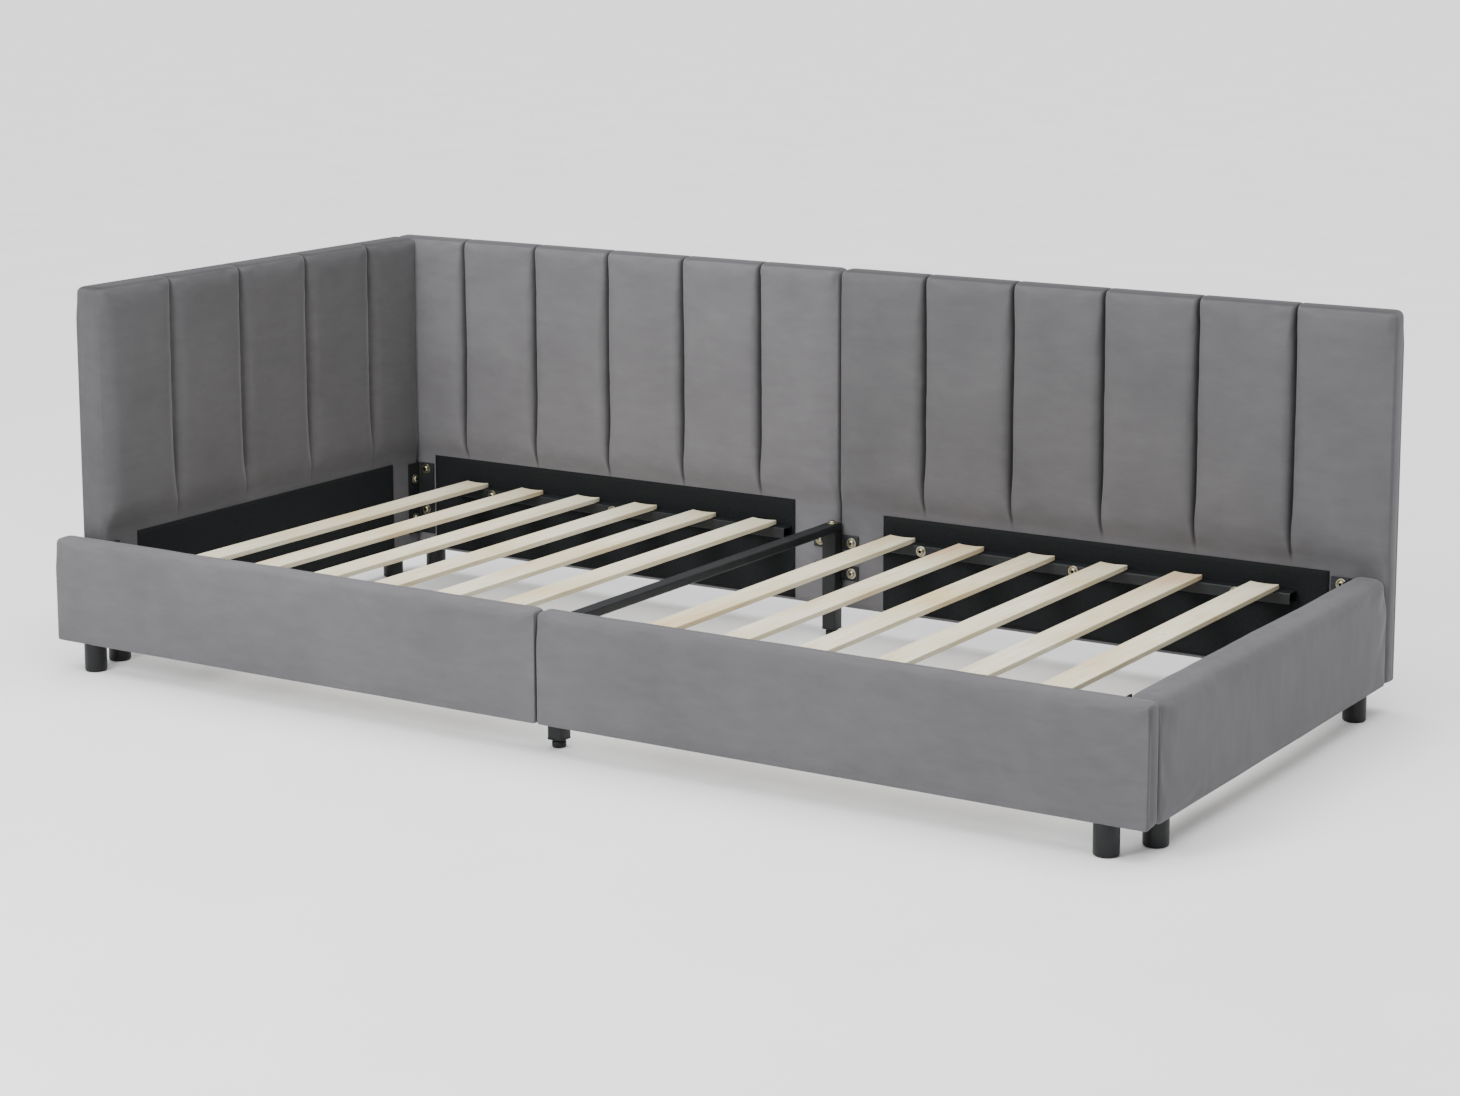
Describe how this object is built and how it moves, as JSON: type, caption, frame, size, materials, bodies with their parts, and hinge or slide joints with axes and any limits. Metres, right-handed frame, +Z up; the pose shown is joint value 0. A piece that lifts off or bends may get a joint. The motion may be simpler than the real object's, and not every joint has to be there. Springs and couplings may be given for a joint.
{
  "type": "daybed",
  "caption": "L-shaped upholstered daybed with channelled headboard and back, low padded front and foot rails, slatted deck and steel centre support with levelling feet.",
  "frame": {"origin": "middle of the bed's footprint, on the floor", "axes": "+X along the bed to the foot end, headboard at -X; +Y towards the tall back, front rail at -Y; +Z up"},
  "size_m": [2.15, 1, 0.692],
  "materials": {
    "velvet": "mid grey velvet, short pile, matte with a soft sheen",
    "foam": "cream polyurethane foam, matte",
    "core_board": "plain plywood board, unfinished",
    "lining": "black non-woven lining, matte",
    "black_steel": "black powder coat, satin",
    "slat_wood": "pale birch plywood, sanded",
    "black_plastic": "black moulded plastic, satin",
    "zinc": "yellow-tinted zinc plate"
  },
  "bodies": {
    "bed": {"headboard_core": "core_board", "headboard_cover": "velvet", "headboard_foam": "foam", "headboard_lining": "lining", "back_left_core": "core_board", "back_left_cover": "velvet", "back_left_foam": "foam", "back_left_lining": "lining", "back_right_core": "core_board", "back_right_cover": "velvet", "back_right_foam": "foam", "back_right_lining": "lining", "front_left_core": "core_board", "front_left_cover": "velvet", "front_left_lining": "lining", "front_right_core": "core_board", "front_right_cover": "velvet", "front_right_lining": "lining", "foot_core": "core_board", "foot_cover": "velvet", "foot_lining": "lining", "headboard_leg_1": "black_plastic", "headboard_leg_2": "black_plastic", "back_left_leg": "black_plastic", "back_right_leg": "black_plastic", "front_left_leg": "black_plastic", "front_right_leg": "black_plastic", "foot_leg_1": "black_plastic", "foot_leg_2": "black_plastic", "slat_left_1": "slat_wood", "slat_left_2": "slat_wood", "slat_left_3": "slat_wood", "slat_left_4": "slat_wood", "slat_left_5": "slat_wood", "slat_left_6": "slat_wood", "slat_right_1": "slat_wood", "slat_right_2": "slat_wood", "slat_right_3": "slat_wood", "slat_right_4": "slat_wood", "slat_right_5": "slat_wood", "slat_right_6": "slat_wood", "ledger_front_left": "black_steel", "ledger_front_right": "black_steel", "ledger_back_left": "black_steel", "ledger_back_right": "black_steel", "centre_beam": "black_steel", "centre_leg_front": "black_steel", "leg_plug_front": "black_plastic", "beam_bolt_front": "zinc", "centre_leg_back": "black_steel", "leg_plug_back": "black_plastic", "beam_bolt_back": "zinc", "corner_bracket_head_front": "black_steel", "corner_bracket_head_back": "black_steel", "corner_bracket_foot_front": "black_steel", "corner_bracket_foot_back": "black_steel"},
    "foot_front": {"levelling_foot_front": "black_plastic"},
    "foot_back": {"levelling_foot_back": "black_plastic"}
  },
  "joints": [
    {"name": "level_front", "type": "slide", "parent": "bed", "child": "foot_front", "axis": [0, 0, -1], "range_m": [-0.002, 0.012]},
    {"name": "level_back", "type": "slide", "parent": "bed", "child": "foot_back", "axis": [0, 0, -1], "range_m": [-0.002, 0.012]}
  ]
}
